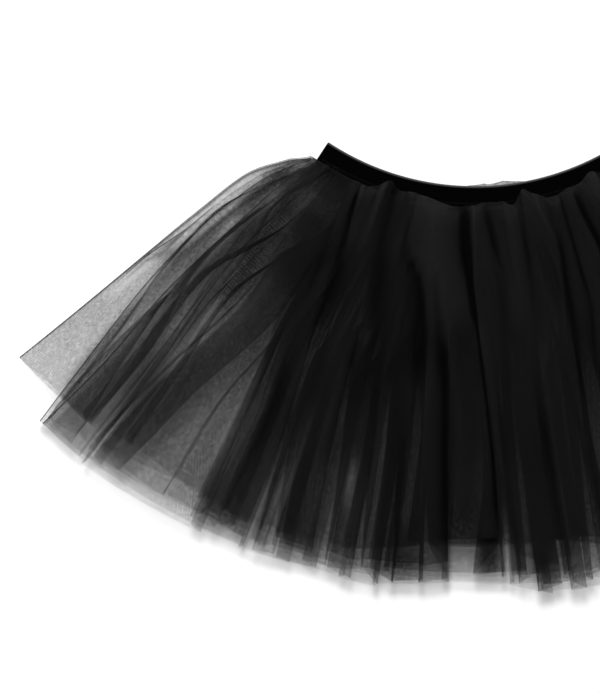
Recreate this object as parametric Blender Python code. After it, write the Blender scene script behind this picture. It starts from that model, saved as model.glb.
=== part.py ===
"""Ballet tutu laid flat: an elastic waistband and three gathered rings of soft tulle.

The skirt lies open like a fan. A point is set by its angle from the fan's middle line, its distance
from the fan's centre and its height above the table. Each ring of tulle lies as a front, on top, and
a back, underneath, joined by a fold at each side. Metres, +Z up, +Y towards the waist, with the
origin on the table at the middle of the garment's footprint.
"""

import math
from collections import namedtuple

import bpy
import numpy as np

MM = 0.001

# Elastic: woven 25 mm tape joined into a ring, pressed flat, curved in a smile.
BAND_WIDTH = 25 * MM
BAND_TOP_RADIUS = 266 * MM
BAND_HALF_ANGLE = 33.5
BAND_WALL = 1.5 * MM
BAND_SLOT = 0.4 * MM
BAND_UNDERSIDE = 5.1 * MM
BAND_STEPS = 26
BAND_FOLD_INSET = (1.6 * MM, 0.75 * MM)

# Tulle: the wall that stands for one cloth with the air held in its crimped folds.
CLOTH_WALL = 1.0 * MM
SEAM_RADIUS = 287 * MM
PLEAT_FULL_RADIUS = 340 * MM
MIDDLE_RADIUS = 450 * MM
HEM_REACH = 677.2 * MM

FAN_CENTRE_Y = (BAND_TOP_RADIUS * math.cos(math.radians(BAND_HALF_ANGLE)) + HEM_REACH) / 2

# Stations from the seam to the hem. The outer front rolls up over the band before it falls, so it
# has its own radius, height and pleat height there, and roll_share says how much of each puff's
# reach the station takes. outward and upward say which way a pleat stands out of the cloth.
Row = namedtuple("Row", "radius roll_radius roll_share height side_height pleat outward upward")
ROWS = (
    Row(287, 287, 0.00, 12.5, 12.5, 0.3, 0.0, 1.0),
    Row(289, 282, 0.45, 15.2, 13.0, 0.9, -1.0, 0.1),
    Row(292, 280, 1.00, 18.6, 13.8, 1.5, -0.9, 0.4),
    Row(297, 287, 0.75, 21.6, 14.8, 2.2, -0.4, 0.9),
    Row(306, 303, 0.15, 22.6, 16.0, 3.0, 0.0, 1.0),
    Row(340, 340, 0.00, 20.8, 17.0, 3.3, 0.0, 1.0),
    Row(400, 400, 0.00, 18.6, 16.6, 3.3, 0.0, 1.0),
    Row(470, 470, 0.00, 17.2, 16.0, 3.3, 0.0, 1.0),
    Row(550, 550, 0.00, 16.0, 15.3, 3.3, 0.0, 1.0),
    Row(632, 632, 0.00, 14.7, 14.6, 3.3, 0.0, 1.0),
)
HIDDEN_ROWS = (0, 3, 4, 5, 6, 7, 8, 9)

# Angle of each ring's side fold at every station, and of the outer ring's upper corner.
SIDE_ANGLES = {
    "outer": (35.1, 35.3, 35.7, 36.6, 38.3, 41.9, 43.9, 44.8, 45.6, 46.3),
    "outer_corner": (34.42, 34.6, 34.95, 35.7, 37.2, 40.4, 42.5, 42.7, 42.5, 42.3),
    "middle": (34.35, 34.5, 34.8, 35.5, 36.9, 40.0, 42.0, 42.1, 41.7, 41.1),
    "inner": (33.9, 34.0, 34.2, 34.7, 35.8, 38.7, 40.6, 40.8, 40.4, 39.9),
}

# Heights of each cloth's middle at the seam and from PLEAT_FULL_RADIUS out to the hem.
Level = namedtuple("Level", "seam open")
LEVELS = {
    "outer_back": Level(0.5, 0.5),
    "middle_back": Level(2.1, 3.25),
    "inner_back": Level(3.7, 6.0),
    "inner_front": Level(9.35, 8.75),
    "middle_front": Level(10.9, 11.5),
}
CRIMP = Level(0.25, 1.2)

# Puffs of the outer front over the band: angle, half width and how far each reaches up the band.
# The roll that they are part of fades out over ROLL_FADE degrees at each side.
ROLL_FADE = 5.0
Puff = namedtuple("Puff", "angle half_width reach")
PUFFS = (
    Puff(-26.0, 3.0, 1.0),
    Puff(-16.8, 2.6, 12.0),
    Puff(-11.5, 2.4, 7.0),
    Puff(-5.0, 1.6, 2.0),
    Puff(4.8, 1.8, 5.0),
    Puff(10.2, 2.0, 10.0),
    Puff(18.0, 3.2, 3.0),
    Puff(24.0, 2.6, 8.0),
    Puff(29.0, 2.0, 3.0),
)

# Pressed folds of the front: the angle of each folded edge at the seam, half way down and at the
# hem, the radius that its point reaches on the middle ring's hem, and how deep the cloth tucks
# under it. A negative depth tucks to the left of the edge, a positive one to the right.
Fold = namedtuple("Fold", "seam middle hem reach depth")
FOLDS = (
    Fold(-33.0, -40.4, -40.3, 664, 7),
    Fold(-31.2, -37.6, -37.6, 662, -8),
    Fold(-29.2, -34.4, -35.7, 669, -5),
    Fold(-26.8, -30.6, -34.2, 653, -5),
    Fold(-24.4, -26.9, -32.4, 657, -9),
    Fold(-22.2, -25.1, -25.6, 661, 9),
    Fold(-20.2, -22.8, -23.1, 663, 7),
    Fold(-18.2, -20.7, -20.9, 659, 7),
    Fold(-16.2, -18.9, -19.2, 667, 5),
    Fold(-14.2, -16.9, -17.2, 665, 8),
    Fold(-12.2, -13.9, -13.2, 664, 9),
    Fold(-10.2, -11.5, -10.9, 670, 7),
    Fold(-8.3, -9.2, -8.7, 672, 6),
    Fold(-6.4, -7.1, -6.9, 667, 6),
    Fold(-4.5, -4.8, -4.7, 664, 7),
    Fold(-2.6, -2.4, -2.3, 660, 9),
    Fold(-0.7, 0.0, 0.2, 653, 7),
    Fold(1.2, 2.1, 2.3, 658, 5),
    Fold(3.1, 3.9, 4.0, 665, 5),
    Fold(5.0, 5.6, 5.6, 675, 8),
    Fold(6.9, 7.3, 7.3, 670, 5),
    Fold(8.8, 9.0, 8.9, 677, 6),
    Fold(10.8, 11.0, 10.7, 674, 8),
    Fold(12.8, 14.3, 14.4, 668, -7),
    Fold(14.8, 17.1, 17.6, 664, -8),
    Fold(16.9, 19.7, 20.2, 668, -6),
    Fold(19.0, 22.3, 22.9, 660, -7),
    Fold(21.2, 24.9, 25.4, 664, -8),
    Fold(23.6, 27.8, 32.0, 657, 9),
    Fold(26.2, 31.0, 34.0, 655, 6),
    Fold(28.8, 34.4, 35.8, 667, 5),
    Fold(31.0, 37.4, 37.8, 662, 8),
    Fold(33.0, 40.4, 40.3, 664, -7),
)
TUCK_AT_SEAM = -2.0
TUCK_AT_MIDDLE = 0.42

# Outer hem: it steps out at each fold and in beside it, and the front is shorter in the middle.
OUTER_HEM_STEP = 3
OUTER_HEM_DIP = 26
OUTER_HEM_DIP_HALF_ANGLE = 3.6

# Outer back: its pleats lie flat on the table for most of their width, with their tucks inside.
BACK_PLEATS = 18
BACK_PHASE = 0.7
BACK_FLAT_SHARE = 0.66
BACK_TUCK = Level(0.35, 1.3)
BACK_HEM_WAVE = 4
BACK_SIDE_INSET = 6

# Hidden rings: the hem's radius at the side fold, how far inside that fold the flat cloth ends at the
# seam and at the hem, and the pleats, whose spacing wanders by a share of one pleat.
HiddenRing = namedtuple("HiddenRing", "name side_hem seam_inset hem_inset")
MIDDLE = HiddenRing("middle", 664, 1.7, 10.0)
INNER = HiddenRing("inner", 664, 1.3, 8.0)
Pleats = namedtuple("Pleats", "count phase")
MIDDLE_BACK_PLEATS = Pleats(18, 2.0)
INNER_FRONT_PLEATS = Pleats(16, 4.1)
INNER_BACK_PLEATS = Pleats(17, 5.3)
UNEVEN_SHARE = 0.2
UNEVEN_TURN = 2.4
Hem = namedtuple("Hem", "crest valley")
MIDDLE_BACK_HEM = Hem(660, 655)
MIDDLE_FRONT_VALLEY = 650
INNER_FRONT_SHORTER = Hem(2, 8)

# Hem of the innermost ring's back: its radius at angles across the fan.
HemPoint = namedtuple("HemPoint", "angle radius")
INNER_HEM = (
    HemPoint(-39.9, 664),
    HemPoint(-28.0, 666),
    HemPoint(-15.0, 673),
    HemPoint(-6.5, 679),
    HemPoint(0.0, 670),
    HemPoint(5.8, 681),
    HemPoint(15.0, 676),
    HemPoint(28.0, 668),
    HemPoint(39.9, 664),
)

BLACK_ELASTIC = ((0.010, 0.010, 0.011), 0.75)
BLACK_TULLE = ((0.020, 0.020, 0.022), 0.9)


def place(angle, radius, height):
    """A point in metres from degrees across the fan and millimetres out and up."""
    turn = math.radians(angle)
    radius = radius * MM
    return (radius * math.sin(turn), FAN_CENTRE_Y - radius * math.cos(turn), height * MM)


def between(value, low, high):
    """0 at low, 1 at high, straight between them."""
    return min(1.0, max(0.0, (value - low) / (high - low)))


def mix(a, b, share):
    return a + (b - a) * share


def ring_wall(name, grid, wall, colour):
    """A closed ring of cloth: grid holds its middle surface, a row from the waist to the hem for
    each station, with the columns running across the front and back across the underside. Each
    point moves half a wall to either side, mitred against the faces that meet there."""
    middle = np.array(grid)
    rows, columns = middle.shape[:2]
    right = np.roll(middle, -1, axis=1)
    diagonal_a = right[1:] - middle[:-1]
    diagonal_b = middle[1:] - right[:-1]
    normals = np.cross(diagonal_b, diagonal_a)
    normals /= np.linalg.norm(normals, axis=2, keepdims=True)
    shift = np.empty_like(middle)
    for row in range(rows):
        spans = [span for span in (row - 1, row) if 0 <= span < rows - 1]
        for column in range(columns):
            facing = np.array([normals[s, c] for s in spans for c in (column - 1, column)])
            target = np.full(len(facing), wall / 2)
            shift[row, column] = np.linalg.lstsq(facing, target, rcond=0.12)[0]
    points = np.concatenate([(middle + shift).reshape(-1, 3), (middle - shift).reshape(-1, 3)])
    under = rows * columns
    faces = []
    for column in range(columns):
        after = (column + 1) % columns
        for row in range(rows - 1):
            a, b = row * columns + column, row * columns + after
            c, d = b + columns, a + columns
            faces.append((a, d, c, b))
            faces.append((under + a, under + b, under + c, under + d))
        top, bottom = column, (rows - 1) * columns + column
        top_after, bottom_after = after, (rows - 1) * columns + after
        faces.append((top, top_after, under + top_after, under + top))
        faces.append((bottom, under + bottom, under + bottom_after, bottom_after))
    mesh = bpy.data.meshes.new(name)
    mesh.from_pydata(points.tolist(), [], faces)
    mesh.materials.append(colour)
    piece = bpy.data.objects.new(name, mesh)
    bpy.context.collection.objects.link(piece)
    return piece


def material(name, finish):
    colour, roughness = finish
    made = bpy.data.materials.new(name)
    made.use_nodes = True
    shader = made.node_tree.nodes["Principled BSDF"]
    shader.inputs["Base Color"].default_value = (*colour, 1)
    shader.inputs["Roughness"].default_value = roughness
    shader.inputs["Metallic"].default_value = 0
    return made


def grown(size, row):
    """A size at a station, which grows from the seam to where the pleats are full."""
    share = between(ROWS[row].radius * MM, SEAM_RADIUS, PLEAT_FULL_RADIUS)
    return mix(size.seam, size.open, share)


def level(cloth, row):
    """Height of a cloth's middle at a station."""
    return grown(LEVELS[cloth], row)


def fold_angle(fold, row):
    """Angle of a fold's edge at a station, straight from seam to middle and on to the hem."""
    radius = ROWS[row].radius * MM
    if radius < MIDDLE_RADIUS:
        return mix(fold.seam, fold.middle, between(radius, SEAM_RADIUS, MIDDLE_RADIUS))
    return mix(fold.middle, fold.hem, between(radius, MIDDLE_RADIUS, ROWS[-1].radius * MM))


def tuck(fold, row):
    """How far the cloth goes back under a fold's edge, in millimetres, with its side's sign."""
    radius = ROWS[row].radius * MM
    depth = abs(fold.depth)
    if radius < MIDDLE_RADIUS:
        share = between(radius, SEAM_RADIUS, MIDDLE_RADIUS)
        reach = mix(TUCK_AT_SEAM, TUCK_AT_MIDDLE * depth, share)
    else:
        share = between(radius, MIDDLE_RADIUS, ROWS[-1].radius * MM)
        reach = mix(TUCK_AT_MIDDLE * depth, depth, share)
    return math.copysign(reach, fold.depth) if reach > 0 else -math.copysign(reach, fold.depth)


def puff_reach(angle):
    """How far the puffs bring the roll up the band at an angle across the seam."""
    return sum(p.reach * math.exp(-(((angle - p.angle) / p.half_width) ** 2)) for p in PUFFS)


def inner_back_hem(angle, crest):
    """The innermost hem follows its table, the same on crests and in valleys."""
    for a, b in zip(INNER_HEM, INNER_HEM[1:]):
        if angle <= b.angle:
            return mix(a.radius, b.radius, between(angle, a.angle, b.angle))
    return INNER_HEM[-1].radius


def uneven(count, phase):
    """Places from -1 to 1 for a ring's pleats, not quite evenly spaced."""
    places = []
    for index in range(count):
        wander = UNEVEN_SHARE * math.sin(UNEVEN_TURN * index + phase)
        places.append(-1 + 2 / count * (index + 0.5 + wander))
    return places


def outer_front_point(seam_angle, angle, row, raised):
    """A point of the outer front: the roll over the band fades out towards the sides."""
    station = ROWS[row]
    corner = SIDE_ANGLES["outer_corner"]
    share = between(abs(seam_angle), corner[0], corner[0] - ROLL_FADE)
    rolled = station.roll_radius - station.roll_share * puff_reach(seam_angle)
    radius = mix(station.radius, rolled, share)
    height = mix(station.side_height, station.height, share)
    if row == len(ROWS) - 1:
        radius += OUTER_HEM_STEP if raised else -OUTER_HEM_STEP
        radius -= OUTER_HEM_DIP * math.exp(-((angle / OUTER_HEM_DIP_HALF_ANGLE) ** 2))
    if raised:
        radius += station.outward * station.pleat
        height += station.upward * station.pleat
    return place(angle, radius, height)


def outer_ring(colour):
    """Front with pressed folds that overlap, back flat on the table with its tucks inside."""
    grid = []
    for row, station in enumerate(ROWS):
        side, corner = SIDE_ANGLES["outer"][row], SIDE_ANGLES["outer_corner"][row]
        seam_corner = SIDE_ANGLES["outer_corner"][0]
        table = level("outer_back", row)
        line = [place(-side, station.radius, table)]
        line.append(outer_front_point(seam_corner, -corner, row, False))
        for fold in FOLDS:
            edge = fold_angle(fold, row)
            tucked = edge + math.degrees(tuck(fold, row) / station.radius)
            top = outer_front_point(fold.seam, edge, row, True)
            under = outer_front_point(fold.seam, tucked, row, False)
            line += [under, top] if fold.depth > 0 else [top, under]
        line.append(outer_front_point(seam_corner, corner, row, False))
        line.append(place(side, station.radius, table))
        grid.append(line + outer_back(row, side))
    return ring_wall("tulle_outer", grid, CLOTH_WALL, colour)


def outer_back(row, side):
    """The back of the outer ring at a station, from right to left."""
    station = ROWS[row]
    table = level("outer_back", row)
    rise = grown(BACK_TUCK, row)
    hem_wave = BACK_HEM_WAVE if row == len(ROWS) - 1 else 0
    inside = side - math.degrees(BACK_SIDE_INSET / station.radius)
    half = (1 - BACK_FLAT_SHARE) / BACK_PLEATS
    line = []
    for index, spot in enumerate(reversed(uneven(BACK_PLEATS, BACK_PHASE))):
        radius = station.radius + hem_wave * math.sin(1.7 * index)
        line.append(place((spot + half) * inside, radius, table))
        line.append(place(spot * inside, radius, table + rise))
        line.append(place((spot - half) * inside, radius, table))
    return line


def zigzag(cloth, row, places, reach_at, corner):
    """One hidden cloth across the fan: a valley before each crest and one after the last."""
    low, rise = level(cloth, row), grown(CRIMP, row)
    last = row == len(ROWS) - 1
    radius = ROWS[row].radius
    line = []
    for index, spot in enumerate(places):
        before = places[index - 1] if index else -1.0
        valley = (before + spot) / 2
        dip = reach_at(valley * corner, False) if last else radius
        line.append(place(valley * corner, dip, low))
        crest = reach_at(spot * corner, True) if last else radius
        line.append(place(spot * corner, crest, low + rise))
    after = (places[-1] + 1) / 2
    last_dip = reach_at(after * corner, False) if last else radius
    line.append(place(after * corner, last_dip, low))
    return line


def hidden_ring(ring, front_places, front_hem, back_places, back_hem, colour):
    """A ring under the outer one: zigzag pleats in front and back, a sharp fold at each side."""
    grid = []
    for row in HIDDEN_ROWS:
        station = ROWS[row]
        share = between(station.radius, ROWS[0].radius, ROWS[-1].radius)
        inset = mix(ring.seam_inset, ring.hem_inset, share)
        side = SIDE_ANGLES[ring.name][row]
        corner = side - math.degrees(inset / station.radius)
        front, back = level(ring.name + "_front", row), level(ring.name + "_back", row)
        radius = ring.side_hem if row == len(ROWS) - 1 else station.radius
        half_way = (front + back) / 2
        places = [spot_of(spot, row, corner) for spot in front_places]
        line = [place(-side, radius, half_way), place(-corner, radius, front)]
        line += zigzag(ring.name + "_front", row, places, front_hem, corner)
        line += [place(corner, radius, front), place(side, radius, half_way)]
        line.append(place(corner, radius, back))
        line += reversed(zigzag(ring.name + "_back", row, back_places, back_hem, corner))
        line.append(place(-corner, radius, back))
        grid.append(line)
    return ring_wall("tulle_" + ring.name, grid, CLOTH_WALL, colour)


def spot_of(spot, row, corner):
    """A pleat's place from -1 to 1: a fold of the table follows its own line down the skirt."""
    return fold_angle(spot, row) / corner if isinstance(spot, Fold) else spot


def waistband(colour):
    """The elastic ring, pressed flat: two walls with a folded end at each side."""
    lower = BAND_UNDERSIDE + BAND_WALL / 2
    upper = lower + BAND_WALL + BAND_SLOT
    centre = (lower + upper) / 2
    grid = []
    for radius in (BAND_TOP_RADIUS, BAND_TOP_RADIUS + BAND_WIDTH):
        inset, tip_inset = (math.degrees(gap / radius) for gap in BAND_FOLD_INSET)
        flat, tip = BAND_HALF_ANGLE - inset, BAND_HALF_ANGLE - tip_inset
        across = [mix(-flat, flat, step / BAND_STEPS) for step in range(BAND_STEPS + 1)]
        stops = [(-tip, centre)] + [(angle, upper) for angle in across]
        stops += [(tip, centre)] + [(angle, lower) for angle in reversed(across)]
        grid.append([place(angle, radius / MM, height / MM) for angle, height in stops])
    return ring_wall("waistband", grid, BAND_WALL, colour)


def middle_front_hem(angle, crest):
    """The middle ring's front hem comes to a point at each fold."""
    nearest = min(FOLDS, key=lambda fold: abs(fold.hem - angle))
    return nearest.reach if crest else MIDDLE_FRONT_VALLEY


def middle_back_hem(angle, crest):
    return MIDDLE_BACK_HEM.crest if crest else MIDDLE_BACK_HEM.valley


def inner_front_hem(angle, crest):
    shorter = INNER_FRONT_SHORTER.crest if crest else INNER_FRONT_SHORTER.valley
    return inner_back_hem(angle, crest) - shorter


def middle_ring(colour):
    """Its front is pressed with the outer ring's folds, all but the two next to the sides."""
    back = uneven(*MIDDLE_BACK_PLEATS)
    return hidden_ring(MIDDLE, FOLDS[1:-1], middle_front_hem, back, middle_back_hem, colour)


def inner_ring(colour):
    front, back = uneven(*INNER_FRONT_PLEATS), uneven(*INNER_BACK_PLEATS)
    return hidden_ring(INNER, front, inner_front_hem, back, inner_back_hem, colour)


for old in list(bpy.data.objects):
    bpy.data.objects.remove(old, do_unlink=True)
tulle = material("black tulle", BLACK_TULLE)
waistband(material("black elastic", BLACK_ELASTIC))
outer_ring(tulle)
middle_ring(tulle)
inner_ring(tulle)
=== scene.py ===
"""Ballet tutu of soft black tulle, laid flat on a white table and seen from straight above.

Three gathered rings of tulle hang from one ring of elastic. Laid flat, the skirt spreads like a fan,
so a point is given by its angle across the fan, its distance from the fan's centre and its height
above the table. Metres, +Z up, +Y towards the waist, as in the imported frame.
"""

import math
from collections import namedtuple

import bpy
import numpy as np
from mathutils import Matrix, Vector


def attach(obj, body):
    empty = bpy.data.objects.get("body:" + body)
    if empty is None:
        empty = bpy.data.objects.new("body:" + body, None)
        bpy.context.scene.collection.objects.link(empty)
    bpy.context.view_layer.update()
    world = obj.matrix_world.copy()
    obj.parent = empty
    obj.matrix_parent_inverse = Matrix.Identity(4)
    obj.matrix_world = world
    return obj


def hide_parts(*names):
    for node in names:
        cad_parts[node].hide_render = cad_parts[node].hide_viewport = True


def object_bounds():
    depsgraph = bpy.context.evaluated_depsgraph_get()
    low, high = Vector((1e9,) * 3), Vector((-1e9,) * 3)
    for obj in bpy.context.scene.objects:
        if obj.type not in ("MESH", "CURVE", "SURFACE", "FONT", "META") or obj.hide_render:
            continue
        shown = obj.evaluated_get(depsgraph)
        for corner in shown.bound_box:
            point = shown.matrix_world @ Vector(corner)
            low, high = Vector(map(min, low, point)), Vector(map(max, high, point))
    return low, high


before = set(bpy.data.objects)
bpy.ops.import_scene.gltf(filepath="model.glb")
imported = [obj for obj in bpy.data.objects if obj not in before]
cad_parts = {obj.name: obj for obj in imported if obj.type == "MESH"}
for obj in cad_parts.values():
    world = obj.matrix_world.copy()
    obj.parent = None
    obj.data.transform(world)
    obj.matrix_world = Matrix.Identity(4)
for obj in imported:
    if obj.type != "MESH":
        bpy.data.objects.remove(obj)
cad_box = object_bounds()

scene = bpy.context.scene
scene.view_settings.view_transform = "Standard"
scene.cycles.transparent_max_bounces = 40


# ------------
# Camera. It hangs far above the table and looks straight down at the left two thirds of the
# skirt, so that a step in height hardly moves anything sideways.

VIEW_CENTRE = (-0.175, 0.0235)
VIEW_LONG_SIDE = 0.692
CAMERA_HEIGHT = 4.0
CLOTH_HEIGHT = 0.012
CAMERA_RANGE = 20


def add_object(name, data):
    thing = bpy.data.objects.new(name, data)
    scene.collection.objects.link(thing)
    return thing


camera_data = bpy.data.cameras.new("camera above")
camera_data.lens = camera_data.sensor_width * (CAMERA_HEIGHT - CLOTH_HEIGHT) / VIEW_LONG_SIDE
camera_data.clip_end = CAMERA_RANGE
camera = add_object("camera above", camera_data)
camera.location = (*VIEW_CENTRE, CAMERA_HEIGHT)
scene.camera = camera


# ------------
# Table and light. A matt white table under a broad pale sky, with one large soft lamp on the
# waist's side, so that the hem throws a faint shadow away from the waist.

TABLE_SIZE = 30
TABLE_FINISH = {"Base Color": (0.88, 0.88, 0.88, 1), "Roughness": 1.0, "Specular IOR Level": 0.0}
SKY_STRENGTH = 0.42
LAMP_SIZE = 1.4
LAMP_PLACE = (-0.35, 2.9, 2.2)
LAMP_POWER = 210


def set_inputs(node, values):
    for name, value in values.items():
        node.inputs[name].default_value = value


def new_material(name, finish):
    """A material, and its shader with this finish."""
    material = bpy.data.materials.new(name)
    material.use_nodes = True
    shader = material.node_tree.nodes["Principled BSDF"]
    set_inputs(shader, finish)
    return material, shader


table_mesh = bpy.data.meshes.new("table")
half_table = TABLE_SIZE / 2
corners = [(x * half_table, y * half_table, 0) for x, y in ((-1, -1), (1, -1), (1, 1), (-1, 1))]
table_mesh.from_pydata(corners, [], [(0, 1, 2, 3)])
table_top = add_object("table", table_mesh)
table_mesh.materials.append(new_material("matt white table", TABLE_FINISH)[0])

sky = bpy.data.worlds.new("pale sky")
sky.use_nodes = True
set_inputs(sky.node_tree.nodes["Background"], {"Color": (1, 1, 1, 1), "Strength": SKY_STRENGTH})
scene.world = sky

lamp_data = bpy.data.lights.new("soft lamp", "AREA")
lamp_data.shape = "DISK"
lamp_data.size = LAMP_SIZE
lamp_data.energy = LAMP_POWER
lamp = add_object("soft lamp", lamp_data)
lamp.location = LAMP_PLACE
lamp.rotation_euler = (-lamp.location).to_track_quat("-Z", "Y").to_euler()


# ------------
# Waistband. Black woven elastic, 25 mm wide, joined into a ring and pressed flat: two walls that
# meet in a fold at each side. It has fine ribs along its length and a rounded selvedge each side,
# and a painted highlight along its top edge.

MM = 0.001
BAND_WIDTH = 25 * MM
BAND_TOP_RADIUS = 266 * MM
BAND_HALF_ANGLE = 33.5
BAND_WALL = 1.5 * MM
BAND_SLOT = 0.4 * MM
BAND_UNDERSIDE = 5.1 * MM
BAND_RIBS = 11
BAND_RIB_HEIGHT = 0.13 * MM
BAND_ROWS_PER_RIB = 6
BAND_COLUMNS = 150
BAND_FOLD_COLUMNS = 6
BAND_EDGE_WALL = 0.15
BAND_EDGE_CRISPNESS = 12
BAND_COLOUR = (0.0004, 0.0004, 0.0005, 1)
BAND_CROWN_COLOUR = (0.0014, 0.0014, 0.0016, 1)
BAND_FINISH = {"Specular IOR Level": 0.004}
WEAVE_PITCH = 0.9 * MM
WEAVE_DEPTH = 0.12 * MM
FLUFF_SCALE = 900
TOP_EDGE_HIGHLIGHT_WIDTH = 2.4 * MM
TOP_EDGE_HIGHLIGHT_FULL = 0.35
TOP_EDGE_HIGHLIGHT_COLOUR = (0.055, 0.055, 0.057, 1)

fan_centre_y = cad_box[1].y + BAND_TOP_RADIUS * math.cos(math.radians(BAND_HALF_ANGLE))


def place(angle, radius, height):
    """Points in metres from degrees across the fan, and metres out and up, as arrays."""
    turn = np.radians(angle)
    return np.stack(
        [radius * np.sin(turn), fan_centre_y - radius * np.cos(turn), height + 0 * turn], axis=-1
    )


def make_piece(name, points, faces, material):
    mesh = bpy.data.meshes.new(name)
    mesh.from_pydata(np.asarray(points).reshape(-1, 3).tolist(), [], np.asarray(faces).tolist())
    mesh.materials.append(material)
    mesh.shade_smooth()
    return add_object(name, mesh)


def loop_faces(rows, columns):
    """Quads of a grid whose columns run round in a loop, facing out of it."""
    row, column = np.meshgrid(np.arange(rows - 1), np.arange(columns), indexing="ij")
    after = (column + 1) % columns
    a, b = row * columns + column, row * columns + after
    return np.stack([a, a + columns, b + columns, b], axis=-1).reshape(-1, 4)


def add_values(piece, **measures):
    """Named measures of a piece, each with one value a point, which its material reads."""
    for name, values in measures.items():
        attribute = piece.data.attributes.new(name, "FLOAT", "POINT")
        attribute.data.foreach_set("value", np.asarray(values, np.float32).ravel())


def math_node(tree, operation, *values):
    """A Math node whose inputs are numbers or other nodes' outputs. Gives its output."""
    node = tree.nodes.new("ShaderNodeMath")
    node.operation = operation
    for socket, value in zip(node.inputs, values):
        if isinstance(value, (int, float)):
            socket.default_value = value
        else:
            tree.links.new(value, socket)
    return node.outputs[0]


def attribute_node(tree, name):
    node = tree.nodes.new("ShaderNodeAttribute")
    node.attribute_name = name
    return node.outputs["Fac"]


def map_range(tree, value, from_min, from_max, to_min=0.0, to_max=1.0):
    node = tree.nodes.new("ShaderNodeMapRange")
    for socket, limit in zip(node.inputs[1:5], (from_min, from_max, to_min, to_max)):
        socket.default_value = limit
    tree.links.new(value, node.inputs["Value"])
    return node.outputs[0]


def noise_node(tree, where, scale, detail, distortion=0.0):
    node = tree.nodes.new("ShaderNodeTexNoise")
    set_inputs(node, {"Scale": scale, "Detail": detail, "Distortion": distortion})
    tree.links.new(where, node.inputs["Vector"])
    return node.outputs["Fac"]


def mix_colours(tree, share, first, second):
    node = tree.nodes.new("ShaderNodeMix")
    node.data_type = "RGBA"
    tree.links.new(share, node.inputs[0])
    for socket, value in zip(node.inputs[6:8], (first, second)):
        if isinstance(value, tuple):
            socket.default_value = value
        else:
            tree.links.new(value, socket)
    return node.outputs[2]


def make_elastic():
    """Crowned threads in rows across the ribs, a painted highlight along the top edge and a little fluff."""
    material, shader = new_material("black woven elastic", BAND_FINISH)
    tree = material.node_tree
    along, across = attribute_node(tree, "along"), attribute_node(tree, "across")
    threads = math_node(tree, "MULTIPLY", along, 2 * math.pi / WEAVE_PITCH)
    ribs = math_node(tree, "MULTIPLY", across, 2 * math.pi * BAND_RIBS / BAND_WIDTH)
    threads, ribs = math_node(tree, "COSINE", threads), math_node(tree, "SINE", ribs)
    crowns = math_node(tree, "MULTIPLY", threads, ribs)
    crowns = math_node(tree, "MULTIPLY_ADD", crowns, 0.5, 0.5)
    place_node = tree.nodes.new("ShaderNodeTexCoord")
    fluff = noise_node(tree, place_node.outputs["Object"], FLUFF_SCALE, 3)
    pale = math_node(tree, "MULTIPLY", crowns, fluff)
    woven = mix_colours(tree, pale, BAND_COLOUR, BAND_CROWN_COLOUR)
    # The top edge of the elastic is painted paler, a painted highlight.
    edge = map_range(tree, across, TOP_EDGE_HIGHLIGHT_WIDTH, TOP_EDGE_HIGHLIGHT_FULL * TOP_EDGE_HIGHLIGHT_WIDTH)
    colour = mix_colours(tree, edge, woven, TOP_EDGE_HIGHLIGHT_COLOUR)
    tree.links.new(colour, shader.inputs["Base Color"])
    rough = math_node(tree, "MULTIPLY_ADD", fluff, 0.3, 0.55)
    tree.links.new(rough, shader.inputs["Roughness"])
    bump = tree.nodes.new("ShaderNodeBump")
    bump.inputs["Distance"].default_value = WEAVE_DEPTH
    tree.links.new(crowns, bump.inputs["Height"])
    tree.links.new(bump.outputs[0], shader.inputs["Normal"])
    return material


elastic = make_elastic()


def make_waistband():
    """The flattened ring as one tube wall: an outer and an inner skin, joined along both edges."""
    lower = BAND_UNDERSIDE + BAND_WALL / 2
    upper = lower + BAND_WALL + BAND_SLOT
    middle = (lower + upper) / 2
    drop = (upper - lower) / 2
    end_turn = math.degrees((drop + BAND_WALL / 2) / (BAND_TOP_RADIUS + BAND_WIDTH / 2))
    flat = BAND_HALF_ANGLE - end_turn
    angles = np.linspace(-flat, flat, BAND_COLUMNS)
    turn = np.linspace(0, math.pi, BAND_FOLD_COLUMNS + 2)[1:-1]
    rim = np.linspace(0, 1, BAND_RIBS * BAND_ROWS_PER_RIB + 1)
    rings = []
    for skin in (1, -1):
        for share in rim[::skin]:
            rounding = math.sqrt(max(0.0, 1 - abs(2 * share - 1) ** BAND_EDGE_CRISPNESS))
            rib = BAND_RIB_HEIGHT * (0.5 - 0.5 * math.cos(2 * math.pi * BAND_RIBS * share))
            wall = BAND_WALL * (BAND_EDGE_WALL + (1 - BAND_EDGE_WALL) * rounding)
            half = wall / 2 - BAND_RIB_HEIGHT + rib
            reach = drop + skin * half
            radius = BAND_TOP_RADIUS + share * BAND_WIDTH
            scale = math.degrees(reach / radius)
            out, up = scale * np.sin(turn), reach * np.cos(turn)
            loop = [
                place(angles, radius, middle + reach),
                place(flat + out, radius, middle + up),
                place(angles[::-1], radius, middle - reach),
                place(-flat - out, radius, middle - up),
            ]
            rings.append(np.concatenate(loop))
    columns = len(rings[0])
    faces = loop_faces(len(rings) + 1, columns) % (len(rings) * columns)
    piece = make_piece("waistband_elastic", rings, faces, elastic)
    steps = np.linalg.norm(np.diff(rings[0], axis=0), axis=1)
    along = np.concatenate([[0.0], np.cumsum(steps)])
    across = np.concatenate([rim, rim[::-1]]) * BAND_WIDTH
    add_values(piece, along=np.tile(along, len(rings)), across=np.repeat(across, columns))
    return piece


waistband = make_waistband()
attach(waistband, "root")
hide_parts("waistband")


# ------------
# Zigzag stitches in black thread, which hold the tulle to both walls of the elastic just above
# its lower edge.

STITCH_RADIUS = 284.3 * MM
STITCH_STEP = 1.5 * MM
STITCH_DEPTH = 3.2 * MM
THREAD_THICKNESS = 0.34 * MM
THREAD_COLOUR = (0.006, 0.006, 0.0062, 1)
THREAD_FINISH = {"Specular IOR Level": 0.05, "Roughness": 0.45}
PLY_SCALE = 2500
STITCH_PATH_POINTS = 200
STITCH_END = 1

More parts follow.
